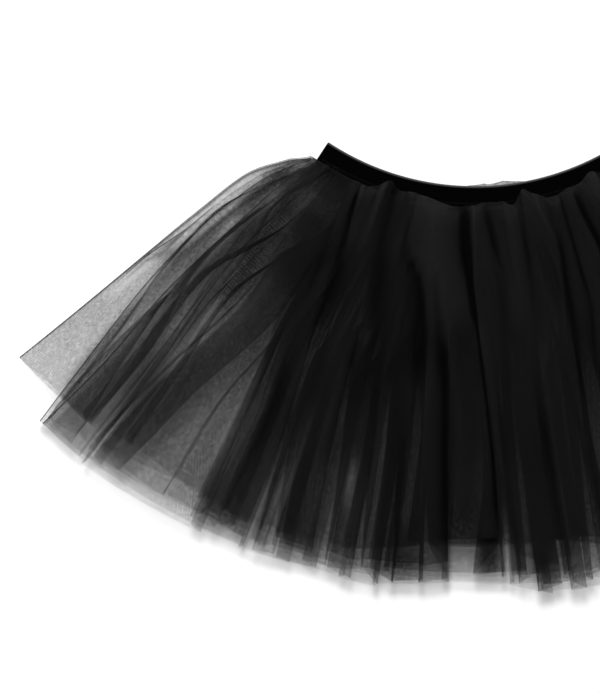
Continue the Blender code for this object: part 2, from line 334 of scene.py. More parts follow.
thread, thread_shader = new_material("black thread", THREAD_FINISH)
thread_tree = thread.node_tree
ply_place = thread_tree.nodes.new("ShaderNodeTexCoord")
ply = noise_node(thread_tree, ply_place.outputs["Object"], PLY_SCALE, 2)
thread_colour = mix_colours(thread_tree, ply, BAND_COLOUR, THREAD_COLOUR)
thread_tree.links.new(thread_colour, thread_shader.inputs["Base Color"])


def make_zigzag_tree():
    """Geometry Nodes: a bar of thread at every step of a path, slanting each way in turn."""
    tree = bpy.data.node_groups.new("zigzag stitches", "GeometryNodeTree")
    face = tree.interface
    face.new_socket("Geometry", in_out="INPUT", socket_type="NodeSocketGeometry")
    sizes = {"Step": STITCH_STEP, "Depth": STITCH_DEPTH, "Thickness": THREAD_THICKNESS}
    for name in sizes:
        face.new_socket(name, in_out="INPUT", socket_type="NodeSocketFloat")
    face.new_socket("Geometry", in_out="OUTPUT", socket_type="NodeSocketGeometry")
    nodes, links = tree.nodes, tree.links
    given = nodes.new("NodeGroupInput").outputs
    curve = nodes.new("GeometryNodeMeshToCurve")
    links.new(given["Geometry"], curve.inputs[0])
    points = nodes.new("GeometryNodeCurveToPoints")
    points.mode = "LENGTH"
    links.new(curve.outputs[0], points.inputs["Curve"])
    links.new(given["Step"], points.inputs["Length"])
    bar = nodes.new("GeometryNodeMeshCylinder")
    bar.inputs["Vertices"].default_value = 6
    links.new(math_node(tree, "MULTIPLY", given["Thickness"], 0.5), bar.inputs["Radius"])
    square = math_node(tree, "ADD", math_node(tree, "POWER", given["Step"], 2.0),
                       math_node(tree, "POWER", given["Depth"], 2.0))
    links.new(math_node(tree, "SQRT", square), bar.inputs["Depth"])
    lying = nodes.new("GeometryNodeTransform")
    lying.inputs["Rotation"].default_value = (0, math.pi / 2, 0)
    links.new(bar.outputs["Mesh"], lying.inputs["Geometry"])
    parts = nodes.new("ShaderNodeSeparateXYZ")
    links.new(points.outputs["Tangent"], parts.inputs[0])
    heading = math_node(tree, "ARCTAN2", parts.outputs["Y"], parts.outputs["X"])
    slant = math_node(tree, "ARCTAN2", given["Depth"], given["Step"])
    index = nodes.new("GeometryNodeInputIndex").outputs[0]
    turn = math_node(tree, "MULTIPLY_ADD", math_node(tree, "MODULO", index, 2.0), 2.0, -1.0)
    around = nodes.new("ShaderNodeCombineXYZ")
    links.new(math_node(tree, "MULTIPLY_ADD", slant, turn, heading), around.inputs["Z"])
    spread = nodes.new("GeometryNodeInstanceOnPoints")
    links.new(points.outputs["Points"], spread.inputs["Points"])
    links.new(lying.outputs[0], spread.inputs["Instance"])
    links.new(around.outputs[0], spread.inputs["Rotation"])
    real = nodes.new("GeometryNodeRealizeInstances")
    links.new(spread.outputs[0], real.inputs[0])
    coloured = nodes.new("GeometryNodeSetMaterial")
    coloured.inputs["Material"].default_value = thread
    links.new(real.outputs[0], coloured.inputs["Geometry"])
    links.new(coloured.outputs[0], nodes.new("NodeGroupOutput").inputs[0])
    return tree, sizes


def make_stitches():
    """One row on the front wall and one on the back wall, as one plain mesh."""
    count = STITCH_PATH_POINTS
    half = BAND_HALF_ANGLE - STITCH_END
    angles = np.linspace(-half, half, count)
    front_height = BAND_UNDERSIDE + 2 * BAND_WALL + BAND_SLOT
    rows = [place(angles, STITCH_RADIUS, height) for height in (front_height, BAND_UNDERSIDE)]
    links = [(i, i + 1) for start in (0, count) for i in range(start, start + count - 1)]
    mesh = bpy.data.meshes.new("zigzag path")
    mesh.from_pydata(np.concatenate(rows).tolist(), links, [])
    path = add_object("zigzag_stitches", mesh)
    tree, sizes = make_zigzag_tree()
    sewing = path.modifiers.new("sewing", "NODES")
    sewing.node_group = tree
    for item in tree.interface.items_tree:
        if item.in_out == "INPUT" and item.name in sizes:
            sewing[item.identifier] = sizes[item.name]
    sewn = path.evaluated_get(bpy.context.evaluated_depsgraph_get())
    path.data = bpy.data.meshes.new_from_object(sewn)
    path.modifiers.clear()
    path.data.shade_smooth()
    return path


stitches = make_stitches()
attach(stitches, "root")


# ------------
# Innermost ring of tulle. A strip of soft black net, gathered along one edge, sewn under the
# elastic and closed into a tube. Laid flat it is a front and a back with a fold at each side.

# Stations from the seam to the hem: nominal radius, the roll of the outer front over the band
# (its radius, the share of each puff, its height and which way a raised edge stands), the side.
Station = namedtuple("Station", "radius roll_radius roll_share height side_height outward upward")
STATIONS = tuple(Station(*row) for row in (
    (287, 287, 0, 12.5, 12.5, 0, 0.1),
    (289, 286, 0.5, 14.6, 13, -0.1, 0.2),
    (292, 286, 1, 17.4, 13.8, -0.1, 0.5),
    (297, 291, 0.85, 20.2, 14.8, 0, 0.8),
    (306, 304, 0.3, 22, 16, 0, 0.9),
    (340, 340, 0, 20.8, 17, 0, 1),
    (400, 400, 0, 18.6, 16.6, 0, 1),
    (470, 470, 0, 17.2, 16, 0, 1),
    (550, 550, 0, 16, 15.3, 0, 1),
    (632, 632, 0, 14.7, 14.6, 0, 1),
))
SIDE_ANGLES = {
    "outer": (35.1, 35.3, 35.9, 37, 38.6, 42.2, 43.8, 44.8, 45.6, 46.3),
    "outer_corner": (34.42, 34.6, 34.95, 35.7, 37.2, 40.4, 42.5, 42.7, 42.5, 42.3),
    "middle": (34.35, 34.5, 34.8, 35.5, 36.9, 39.8, 41.9, 42.3, 41.7, 41.1),
    "inner": (33.9, 34, 34.2, 34.7, 35.4, 37, 38.8, 40, 40.1, 40.8),
}
SEAM, OPEN, HEM = 287, 340, 632


def between_stations(values):
    """A smooth line through one value a station, read at every row."""
    values = np.asarray(values, float)
    ends = np.concatenate([[2 * values[0] - values[1]], values, [2 * values[-1] - values[-2]]])
    low = np.clip(row_places.astype(int), 0, len(values) - 2)
    t = row_places - low
    a, b, c, d = (ends[low + shift] for shift in range(4))
    return b + 0.5 * t * (c - a + t * (2 * a - 5 * b + 4 * c - d + t * (3 * (b - c) + d - a)))


row_places = np.concatenate([np.arange(0, 5, 0.25), np.arange(5, 9.01, 0.2)])
row_places[-1] = 9.0
station_rows = {name: between_stations([getattr(s, name) for s in STATIONS]) for name in Station._fields}
side_rows = {name: between_stations(values) for name, values in SIDE_ANGLES.items()}
row_radius = station_rows["radius"]
opened = np.clip((row_radius - SEAM) / (OPEN - SEAM), 0, 1)
down = (row_radius - SEAM) / (HEM - SEAM)

# A pleat: the radius where it starts, the angle of its folded edge at five radii from the waist
# to the hem, the radii that the edge and the turn under it reach, how wide the cloth laps under
# at the second radius and at the hem (to the left if negative), and how light its face is
# painted, from 0 (painted shade) to 1 (painted light).
Pleat = namedtuple("Pleat", "start waist high middle low hem reach under wide_high wide_hem face")
EDGE_PLACES = np.array((290, 365, 440, 540, 640))
LAP_PLACES = (365, 640)
PLEAT_OPENS = (-20, 50)
HIDDEN_LAP = 0.8
LEAST_CREASE, LEAST_RISE = 0.02, 0.03

# A column of a ring: its angle, radius, height, crease and painted light level (face) at every
# row, whether it lies in the front (1) or not (0), and how far the cloth takes to turn there.
PLEAT_TURN = 0.5 + 0.8 * (1 - down)
SIDE_TURN = 1.5
SIDE_CREASE = 1.8
HIDDEN_SIDE_TURN = 2.4
HIDDEN_SIDE_CREASE = 2.6
Column = namedtuple("Column", "angle radius height crease face front turn", defaults=(PLEAT_TURN,))


def smoothstep(value, low, high):
    t = np.clip((value - low) / (high - low), 0, 1)
    return t * t * (3 - 2 * t)


def edge_line(pleat, radii):
    """The folded edge's angle at each radius, on a smooth curve through its five places."""
    x, y = EDGE_PLACES, np.array((pleat.waist, pleat.high, pleat.middle, pleat.low, pleat.hem))
    steps = np.diff(y) / np.diff(x)
    slope = np.concatenate([steps[:1], (y[2:] - y[:-2]) / (x[2:] - x[:-2]), steps[-1:]])
    low = np.clip(np.searchsorted(x, radii) - 1, 0, len(x) - 2)
    span = x[low + 1] - x[low]
    t = np.clip((radii - x[low]) / span, 0, 1)
    line = y[low] * (1 + 2 * t) * (1 - t) ** 2 + y[low + 1] * t * t * (3 - 2 * t)
    line = line + span * t * (1 - t) * (slope[low] * (1 - t) - slope[low + 1] * t)
    return line + slope[-1] * np.maximum(radii - x[-1], 0) * 0.6


def hem_rows(reach):
    """Radii of a column whose hem reaches this far, in step with the rows."""
    share = np.clip((row_radius - OPEN) / (HEM - OPEN), 0, 1)
    return row_radius + (reach - HEM) * share


# A soft-edged place that runs down the cloth: its angles at some radii, how far it spreads to
# each side in degrees, and how strong it is.
Fold = namedtuple("Fold", "radii angles spread strength")
FOLD_FADE_IN, FOLD_FADE_OUT = 9, 16


def fold_total(angle, folds):
    """The sum of the folds' strengths at each row and angle."""
    total = np.zeros_like(angle)
    for fold in folds:
        line = np.interp(row_radius, fold.radii, fold.angles)[:, None]
        first, last = fold.radii[0], fold.radii[-1]
        kept = smoothstep(row_radius, first - FOLD_FADE_IN, first + FOLD_FADE_IN)
        kept *= 1 - smoothstep(row_radius, last - FOLD_FADE_OUT, last + FOLD_FADE_OUT)
        total += fold.strength * kept[:, None] * np.exp(-(((angle - line) / fold.spread) ** 2))
    return total


# Painted light levels of a pleat's hidden turn, of the cloth near the waist and of hidden cloth, from 0
# (painted shade) to 1 (painted light).
UNDER_PAINTED_LIGHT = 0.4
UNDER_CREASE = 0.8
WAIST_PAINTED_LIGHT = 0.4
HIDDEN_PAINTED_LIGHT = 0.4


def pleat_columns(pleat, reach, under_reach, base, rise, strength=1.0, width=1.0):
    """The two turns of a pleat: its edge, raised, and the turn hidden under it."""
    shown = smoothstep(row_radius, *(pleat.start + step for step in PLEAT_OPENS))
    side = math.copysign(1.0, pleat.wide_hem)
    edge_radii, under_radii = hem_rows(reach), hem_rows(under_reach)
    wide = width * np.interp(under_radii, LAP_PLACES, (pleat.wide_high, pleat.wide_hem))
    lap = wide * shown - side * HIDDEN_LAP * (1 - shown)
    under = edge_line(pleat, under_radii) + np.degrees(lap / under_radii)
    crease = strength * (LEAST_CREASE + (1 - LEAST_CREASE) * shown)
    # The pleat's face and its hidden turn get painted light levels.
    face = WAIST_PAINTED_LIGHT + (pleat.face - WAIST_PAINTED_LIGHT) * shown
    under_painted_light = WAIST_PAINTED_LIGHT + (UNDER_PAINTED_LIGHT - WAIST_PAINTED_LIGHT) * shown
    raised = base + rise * (LEAST_RISE + (1 - LEAST_RISE) * shown)
    turns = [
        Column(edge_line(pleat, edge_radii), edge_radii, raised, crease, face, 1.0),
        Column(under, under_radii, base + 0 * rise, UNDER_CREASE * crease, under_painted_light, 1.0),
    ]
    return turns if side < 0 else turns[::-1]


# How far out a panel bows, how wide it is where it bows most, and from where to where it starts.
BOW_RISE = (0.1, 1.1)
BOW_FULL_WIDTH = 25
BOW_START = (340, 500)
# The radii between which a crimp starts to fade and is gone.
CRIMP_FADES = (292, 320)
CRIMP_GONE = (350, 520)
TURN_MOST = 0.42
TURN_STEPS = (0.0, 0.33, 0.67, 1.0)
FILLS_MOST = 30


def turn_and_fill(columns, crimp_height, spacing, rng):
    """Across, radius, height, crease, painted light level (face) and front of every point of a
    ring. Each turn is rounded, each panel softly bowed, and the gathers crimp it near the seam."""

    def read(name):
        return np.stack([getattr(column, name) + 0 * down for column in columns], axis=1)

    to_arc = np.radians(1) * row_radius[:, None]
    rest = [read(name) for name in ("radius", "height", "crease", "face", "front")]
    control = np.stack([read("angle") * to_arc, *rest], axis=-1)
    to_before = np.roll(control, 1, axis=1) - control
    to_after = np.roll(control, -1, axis=1) - control
    turn_size = read("turn")[..., None]

    def toward(step):
        length = np.linalg.norm(step[..., :3], axis=2, keepdims=True)
        return control + step * np.minimum(TURN_MOST, turn_size / np.maximum(length, 1e-4))

    start, end = toward(to_before), toward(to_after)
    points = []
    for index in range(len(columns)):
        for t in TURN_STEPS:
            curve = (1 - t) ** 2 * start[:, index] + 2 * t * (1 - t) * control[:, index]
            curve = curve + t * t * end[:, index]
            curve[:, 3] = control[:, index, 3] * (0 < t < 1)
            points.append(curve)
        after = (index + 1) % len(columns)
        gap = abs(start[-1, after, 0] - end[-1, index, 0])
        fills = int(np.clip(gap / spacing, 1, FILLS_MOST))
        bow = rng.uniform(*BOW_RISE) * min(1.0, gap / BOW_FULL_WIDTH) * smoothstep(row_radius, *BOW_START)
        for step in range(fills):
            t = (step + 1) / (fills + 1)
            panel = (1 - t) * end[:, index] + t * start[:, after]
            crimp = crimp_height * rng.uniform(0.3, 1.0) * (-1) ** step * (fills > 1)
            fade = 1 - smoothstep(row_radius, rng.uniform(*CRIMP_FADES), rng.uniform(*CRIMP_GONE))
            panel[:, 2] += bow * 4 * t * (1 - t) + crimp * fade * np.minimum(1, 4 * opened)
            panel[:, 3] = 0.0
            # Each panel's painted light level varies a little at random towards the hem.
            panel[:, 4] *= 1 + rng.uniform(-0.15, 0.15) * smoothstep(row_radius, 400, 520)
            points.append(panel)
    return np.stack(points, axis=1)


# Over how many columns to each side the gathering is evened out, and its limits.
GATHER_REACH = 3
GATHER_LIMITS = (0.7, 6.0)
LOOSEST, TIGHTEST = 0.15, 3


def lay_ring(name, columns, fullness, crimp_height, seed, spacing, loose=(), drape=None):
    """A closed ring of thin cloth through its columns, as full at each angle as it was cut."""
    flat = turn_and_fill(columns, crimp_height, spacing, np.random.default_rng(seed))
    angle = flat[..., 0] / (np.radians(1) * row_radius[:, None])
    if drape:
        flat[..., 1], flat[..., 2], flat[..., 4] = drape(angle, *(flat[..., k] for k in (1, 2, 4, 5)))
    solid = place(angle, flat[..., 1] * MM, flat[..., 2] * MM)
    rows, count = solid.shape[:2]
    gaps = np.linalg.norm(np.roll(solid, -1, axis=1) - solid, axis=2)
    cut = gaps[-1] * np.interp(angle[-1], FULL_ANGLES, fullness)
    near = range(-GATHER_REACH, GATHER_REACH + 1)
    near_gaps = sum(np.roll(gaps, step, axis=1) for step in near)
    gather = np.clip(sum(np.roll(cut, step) for step in near) / near_gaps, *GATHER_LIMITS)
    crowd = gather * np.clip(1 - fold_total(angle, loose), LOOSEST, TIGHTEST)
    piece = make_piece(name, solid, loop_faces(rows, count), tulle)
    fall = np.linalg.norm(np.diff(solid, axis=0), axis=2)
    v = np.concatenate([np.zeros((1, count)), np.cumsum(fall, axis=0)])
    u = np.concatenate([[0.0], np.cumsum(cut)])
    add_cloth_map(piece, u, v, count)
    # face carries each point's painted light level to the material.
    add_values(piece, gather=gather, crowd=crowd, crease=flat[..., 3], face=flat[..., 4])
    return piece


def add_cloth_map(piece, u, v, count):
    """UV in metres of the flat cut: across the strip and down from the seam."""
    layer = piece.data.uv_layers.new(name="cut")
    loops = np.zeros(len(piece.data.loops), np.int64)
    piece.data.loops.foreach_get("vertex_index", loops)
    row, column = np.divmod(loops.reshape(-1, 4), count)
    wraps = (column.max(axis=1, keepdims=True) == count - 1) & (column == 0)
    across = np.where(wraps, u[count], u[column])
    uv = np.stack([across, v[row, column]], axis=-1).reshape(-1, 2)
    layer.data.foreach_set("uv", uv.astype(np.float32).ravel())


# Tulle: a hexagonal net of fine nylon. More of it shows where it is gathered or creased, and
# where it is crowded its threads lie out of step and look even. Its colour runs from a painted
# shade to a painted light by each point's face value.
NET_PITCH = 1.6 * MM
NET_TURNS = (30, 90, 150)
NET_CLEAR = (1.0, 1.6)
NET_DENSITY = 0.2
THREAD_WAVE = (0.2, -1.3)
THREAD_WEIGHT = (0.3, 2.0)
MOTTLE_SCALE = 300
MOTTLE_GAIN, MOTTLE_SHIFT, MOTTLE_LEAST = 2.6, -0.3, 0.15
TULLE_PAINTED_SHADE_COLOUR = (0.0008, 0.0008, 0.0009, 1)
TULLE_PAINTED_LIGHT_COLOUR = (0.0125, 0.0125, 0.013, 1)
TULLE_FINISH = {"Roughness": 0.5, "Specular IOR Level": 0.012, "Sheen Weight": 0.02, "Sheen Roughness": 0.35}
CREASE_GAIN = 14.0
GATHER_POWER = 1.2
THREAD_MEAN = 0.82


def make_tulle():
    material, shader = new_material("black tulle", TULLE_FINISH)
    tree = material.node_tree
    cut_map = tree.nodes.new("ShaderNodeUVMap")
    cut_map.uv_map = "cut"
    wave = 2 * math.pi / NET_PITCH
    waves = []
    for turn in NET_TURNS:
        along = tree.nodes.new("ShaderNodeVectorMath")
        along.operation = "DOT_PRODUCT"
        tree.links.new(cut_map.outputs[0], along.inputs[0])
        heading = math.radians(turn)
        along.inputs[1].default_value = (wave * math.cos(heading), wave * math.sin(heading), 0)
        waves.append(math_node(tree, "COSINE", along.outputs["Value"]))
    total = math_node(tree, "ADD", math_node(tree, "ADD", waves[0], waves[1]), waves[2])
    threads = map_range(tree, total, *THREAD_WAVE, *THREAD_WEIGHT)
    uneven = noise_node(tree, cut_map.outputs[0], MOTTLE_SCALE, 2, 1.2)
    mottled = math_node(tree, "MULTIPLY_ADD", uneven, MOTTLE_GAIN, MOTTLE_SHIFT)
    mottled = math_node(tree, "MAXIMUM", mottled, MOTTLE_LEAST)
    # The face value paints the colour, from painted shade at 0 to painted light at 1.
    painted_light = attribute_node(tree, "face")
    tree.links.new(mix_colours(tree, painted_light, TULLE_PAINTED_SHADE_COLOUR, TULLE_PAINTED_LIGHT_COLOUR), shader.inputs["Base Color"])
    clear = map_range(tree, attribute_node(tree, "gather"), *NET_CLEAR, 1.0, 0.0)
    away = math_node(tree, "SUBTRACT", threads, THREAD_MEAN)
    netting = math_node(tree, "MULTIPLY_ADD", away, clear, THREAD_MEAN)
    crowded = math_node(tree, "POWER", attribute_node(tree, "crowd"), GATHER_POWER)
    crowd = math_node(tree, "MULTIPLY_ADD", attribute_node(tree, "crease"), CREASE_GAIN, crowded)
    net = math_node(tree, "MULTIPLY", netting, mottled)
    thick = math_node(tree, "MULTIPLY", math_node(tree, "MULTIPLY", net, crowd), -NET_DENSITY)
    alpha = math_node(tree, "SUBTRACT", 1.0, math_node(tree, "EXPONENT", thick))
    tree.links.new(alpha, shader.inputs["Alpha"])
    return material


tulle = make_tulle()

# How many times its own width the cloth was cut, at angles at the hem. It lies fuller towards
# the middle of the fan than at its sides, most in the outer ring.
FULL_ANGLES = (-46, -36, -33, -27, -24, -20, -13, -10, -6, 4, 8, 12, 20, 26, 34, 40, 46)
INNER_FULL = (0.95,) * len(FULL_ANGLES)
MIDDLE_FULL = (0.88, 0.82, 0.97, 0.98, 1.2, 1.3, 1.45, 1.75, 1.95, 1.95, 1.85, 1.7, 1.4, 1.2, 1, 0.9, 1)
OUTER_FULL = (1.14, 0.86, 0.95, 0.93, 1.2, 1.12, 1.3, 1.9, 2.5, 2.8, 2.5, 2.4, 2, 1.5, 1, 0.9, 1)


# Between these angles at the hem no back has a pleat, so that the front stays pale over it.
BARE = ((-32, -25.8), (-3.2, 0.9))
BACK_STARTS = (300, 420)
BACK_TOP_ANGLES = (32.5, 36)
# Painted light level of the backs' pleats.
BACK_PAINTED_LIGHT = 0.3


def back_pleats(rng, count, half_angle, reach, width):
    """Uneven pleats across a back."""
    made = []
    for index in range(count):
        share = -1 + 2 * (index + 0.5 + rng.uniform(-0.35, 0.35)) / count
        lean = share + rng.uniform(-0.04, 0.04)
        hem = share * half_angle
        wide = (1 if rng.random() < 0.5 else -1) * rng.uniform(*width)
        edge_reach = reach(hem) + rng.uniform(-3, 4)
        if any(first < hem < last for first, last in BARE):
            continue
        edge = [lean * angle for angle in BACK_TOP_ANGLES]
        edge += [(0.5 * lean + 0.5 * share) * (half_angle - 0.5), share * (half_angle - 0.3), hem]
        reaches = (edge_reach, edge_reach - 4)
        made.append(Pleat(rng.uniform(*BACK_STARTS), *edge, *reaches, 0.3 * wide, wide, BACK_PAINTED_LIGHT))
    return made


SIDE_REACH = 664


def ring_columns(ring, front, back, front_height, back_height):
    """All the columns round a hidden ring: left fold, front, right fold, back."""
    side = side_rows[ring]
    corner = side - np.degrees((3 + 3.5 * down) / row_radius)
    tips = hem_rows(SIDE_REACH)
    half_way = (front_height + back_height) / 2
    none = 0 * down
    # face here is the painted light level of the hidden side folds.
    full, face = HIDDEN_SIDE_CREASE + none, HIDDEN_PAINTED_LIGHT + none
    return [
        Column(-side, tips, half_way, full, face, 0.0, HIDDEN_SIDE_TURN),
        Column(-corner, tips, front_height, none, face, 1.0),
        *front,
        Column(corner, tips, front_height, none, face, 1.0),
        Column(side, tips, half_way, full, face, 0.0, HIDDEN_SIDE_TURN),
        Column(corner, tips, back_height, none, face, 0.0),
        *back[::-1],
        Column(-corner, tips, back_height, none, face, 0.0),
    ]


INNER_HEM_ANGLES = (-40.8, -37.5, -32, -28, -15, -6.5, 0, 5.8, 15, 28, 40.8)
INNER_HEM_RADII = (666, 670, 666, 670, 668, 673, 660, 676, 672, 668, 664)


def inner_hem(angle):
    return float(np.interp(angle, INNER_HEM_ANGLES, INNER_HEM_RADII))


def inner_back_hem(angle):
    return inner_hem(angle) - float(np.interp(angle, (-12, -8, 8, 12), (0, 12, 12, 0)))


INNER_PLEATS = tuple(Pleat(*row, 0.35) for row in (
    (330, -30.6, -34.6, -35.8, -35.6, -35.9, 671, 668, 3, 3),
    (300, -22.4, -23.8, -24.8, -24.6, -24.2, 671, 668, -6, -13),
    (310, -15.2, -16.7, -17.6, -16.9, -16.2, 669, 667, -6, -15),
    (380, -12, -12.6, -12.6, -12, -11.8, 671, 669, 3, 6),
    (340, -8.2, -9, -9.2, -8.9, -8.6, 674, 671, -3, -3),
    (300, -2.4, -2, -1.9, -2, -2.2, 663, 660, -4, -8),
    (360, 1.4, 1.8, 2.4, 2.9, 3, 666, 663, 3, 5),
    (300, 5, 5.6, 6, 6.4, 6.6, 678, 675, -5, -11),
    (330, 11.4, 12.6, 12.8, 12.4, 12, 677, 673, -6, -12),
    (350, 15.8, 17.2, 17.6, 17.4, 16.8, 675, 671, 6, 14),
    (320, 20.4, 22, 22.8, 22.6, 22.4, 670, 666, -3, -9),
    (340, 24.4, 26.8, 28, 28.2, 28.6, 668, 664, 5, 12),
    (330, 30.2, 34.2, 35.6, 35.4, 35.6, 667, 662, -3, -7),
))


def level(seam, open_height):
    return seam + (open_height - seam) * opened


def columns_of(pleats, base, rise, strength=1.0, width=1.0):
    """The turns of a row of pleats, from left to right."""
    columns = []
    for pleat in pleats:
        columns += pleat_columns(pleat, pleat.reach, pleat.under, base, rise, strength, width)
    return columns


rng = np.random.default_rng(11)
lap = level(0.25, 1.1)
front_level, back_level = level(9.35, 8.75), level(3.7, 6.0)
inner_front = columns_of(INNER_PLEATS, front_level, lap, strength=0.7)
inner_back = back_pleats(rng, 11, 38, inner_back_hem, (3, 16))
inner_back = columns_of(inner_back, back_level, lap, strength=0.5)
inner_loop = ring_columns("inner", inner_front, inner_back, front_level, back_level)
inner_ring = lay_ring("tulle_ring_inner", inner_loop, INNER_FULL, crimp_height=0.35, seed=1, spacing=5.5)
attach(inner_ring, "root")
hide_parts("tulle_inner")


# ------------
# A gathered edge of tulle that peeps out behind the elastic above its top edge, right of the
# middle, in uneven humps.

PEEP_ANGLES = (-3, -1.2, 0.6, 2, 3, 4.2, 6.2, 8.2, 10.2, 12)
PEEP_TOPS = (267.5, 265.2, 264.6, 263.4, 264.2, 263.8, 262, 263.6, 265, 267.5)
PEEP_BOTTOM = 278
PEEP_HEIGHT = 4.4
PEEP_GATHER = 5
PEEP_CUT = (0.08, 0.014)
PEEP_ROWS, PEEP_COLUMNS = 7, 130
PEEP_RUFFLE = 0.35
# How light the peeping edge is painted, a painted light.
PEEP_PAINTED_LIGHT = 0.9


def make_peep():
    rng = np.random.default_rng(21)
    angle = np.linspace(PEEP_ANGLES[0], PEEP_ANGLES[-1], PEEP_COLUMNS)
    tops = np.interp(angle, PEEP_ANGLES, PEEP_TOPS)
    ruffle = rng.uniform(-1, 1, len(angle)).cumsum()
    ruffle = PEEP_RUFFLE * np.sin(0.9 * ruffle + np.linspace(0, 160, len(angle)))
    rows = []
    for share in np.linspace(0, 1, PEEP_ROWS):
        radius = tops + share * (PEEP_BOTTOM - tops)
        rows.append(place(angle, radius * MM, (PEEP_HEIGHT + ruffle * (1 - 0.7 * share)) * MM))
    count = PEEP_COLUMNS
    row, column = np.meshgrid(np.arange(PEEP_ROWS - 1), np.arange(count - 1), indexing="ij")
    first = row * count + column
    faces = np.stack([first, first + count, first + count + 1, first + 1], axis=-1).reshape(-1, 4)
    piece = make_piece("tulle_edge_above_band", rows, faces, tulle)
    u = np.linspace(0, PEEP_CUT[0], count)
    v = np.repeat(np.linspace(0, PEEP_CUT[1], PEEP_ROWS)[:, None], count, axis=1)
    add_cloth_map(piece, np.append(u, PEEP_CUT[0]), v, count)
    even = np.ones(PEEP_ROWS * count)
    gather = PEEP_GATHER * even
    add_values(piece, gather=gather, crowd=gather, crease=0 * even, face=PEEP_PAINTED_LIGHT * even)
    return piece


peep = make_peep()
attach(peep, "root")


# ------------
# Middle ring of tulle. The same strip as the innermost, a little shorter. Its front was pressed
# into pleats together with the outer one's, and each pleat comes to a point at the hem.

SIDE_PLEATS = (
    Pleat(350, -33.4, -40.6, -41.85, -40.8, -40.4, 664, 661, -2.5, -3, 0.5),
    Pleat(390, 33.2, 40.0, 41.4, 41.0, 40.2, 663, 660, 2, 4, 0.5),
)
PLEATS = tuple(Pleat(*row) for row in (
    (470, -31.5, -37, -39.2, -38.7, -37.7, 661, 656, 20, -36, 0.55),
    (480, -31, -36.6, -38.6, -37.05, -37.7, 652, 648, -24, -2, 0.46),
    (350, -30.3, -36.2, -36.5, -35.9, -35.85, 670, 655, 22, 2.5, 0.57),
    (430, -28.8, -30.8, -31.5, -34.3, -35.9, 657, 653, -3, -3, 0.49),
    (350, -25, -25.3, -26.3, -30.3, -32.6, 656, 648, -38, -32, 0.55),
    (430, -23.4, -24.2, -25, -27.8, -28.4, 655, 652, -1.5, -1.5, 0.57),
    (400, -22.9, -24.5, -25.7, -25.7, -25.6, 661, 653, 6, 11.5, 0.52),
    (350, -22.6, -22, -23.3, -22.4, -23.1, 662, 651, -12, -17, 0.57),
    (400, -19.4, -20.6, -21.2, -20.4, -20.6, 659, 650, -20, -21, 0.57),
    (430, -18, -19, -19.8, -20.2, -19.6, 668, 652, 14, 3.3, 0.63),
    (420, -16.6, -17.2, -18, -18.3, -17.7, 665, 653, -30, -5, 0.63),
    (420, -13.6, -14.9, -15.6, -15.2, -14.5, 653, 651, -26, -33, 0.6),
    (420, -12.2, -12.7, -13.3, -13.15, -13.05, 663, 655, -26, -3, 0.57),
    (430, -10.6, -11.2, -11.5, -11.1, -10.75, 670, 664, -24, -24, 0.57),
    (440, -9.4, -10, -10.3, -10.1, -9.9, 659, 655, -24, -2, 0.49),
    (400, -8, -8.4, -8.4, -8.1, -8.3, 672, 655, -16, -13, 0.49),
    (430, -6.9, -7.3, -7.4, -7.35, -7.1, 668, 666, -22, -3, 0.49),
    (420, -6, -6.2, -6.2, -5.6, -5, 665, 662, 3, 5, 0.63),
    (400, -4.6, -4, -3.3, -2.85, -2.42, 659, 627, -28, -20, 0.41),
    (520, -3.7, -1.5, 0.2, 0.9, -0.1, 655, 627, 5, 24, 0.46),
    (400, -0.7, -0.2, 0.8, 1.9, 2.3, 658, 652, 2.5, 3.4, 0.63),
    (450, 1, 1.9, 2.4, 2.9, 3.7, 665, 650, 3, 4, 0.52),
    (430, 1.6, 4.3, 4.4, 4.9, 5.3, 675, 653, 12, 5, 0.57),
    (440, 5.8, 6.5, 6.8, 7.1, 7.45, 669, 668, -12, -20, 0.55),
    (450, 7.7, 8.6, 8, 8, 8.15, 677, 668, 3, 5, 0.55),
    (430, 9.6, 10.4, 10.1, 9.8, 9.6, 677, 670, -10, -12, 0.55),
    (400, 10.9, 13.4, 12.3, 11.2, 10.35, 670, 666, -12, -7, 0.57),
    (400, 15.6, 16.9, 15.6, 14.7, 14.3, 664, 652, 12, 15, 0.55),
    (390, 18, 19.2, 18.4, 18, 17.6, 667, 650, 14, 21, 0.57),
    (430, 19.8, 21.3, 21.6, 20.9, 20.6, 664, 652, -3, -4, 0.63),
    (360, 21.4, 22.9, 23.8, 23.6, 23.2, 658, 648, 14, 23, 0.57),
    (400, 23, 25.2, 26.1, 26.2, 25.9, 663, 652, -4, -9, 0.55),
    (350, 25.2, 26.8, 27.6, 31, 32.9, 656, 648, 30, 31, 0.55),
    (430, 27.8, 31, 32.2, 34.4, 35.4, 659, 652, 3, 3, 0.52),
    (360, 30.4, 35.6, 36.3, 36.1, 36.1, 669, 655, -18, -4, 0.57),
    (470, 31.7, 37.4, 38.9, 38.6, 38, 662, 655, -18, 30, 0.55),
))

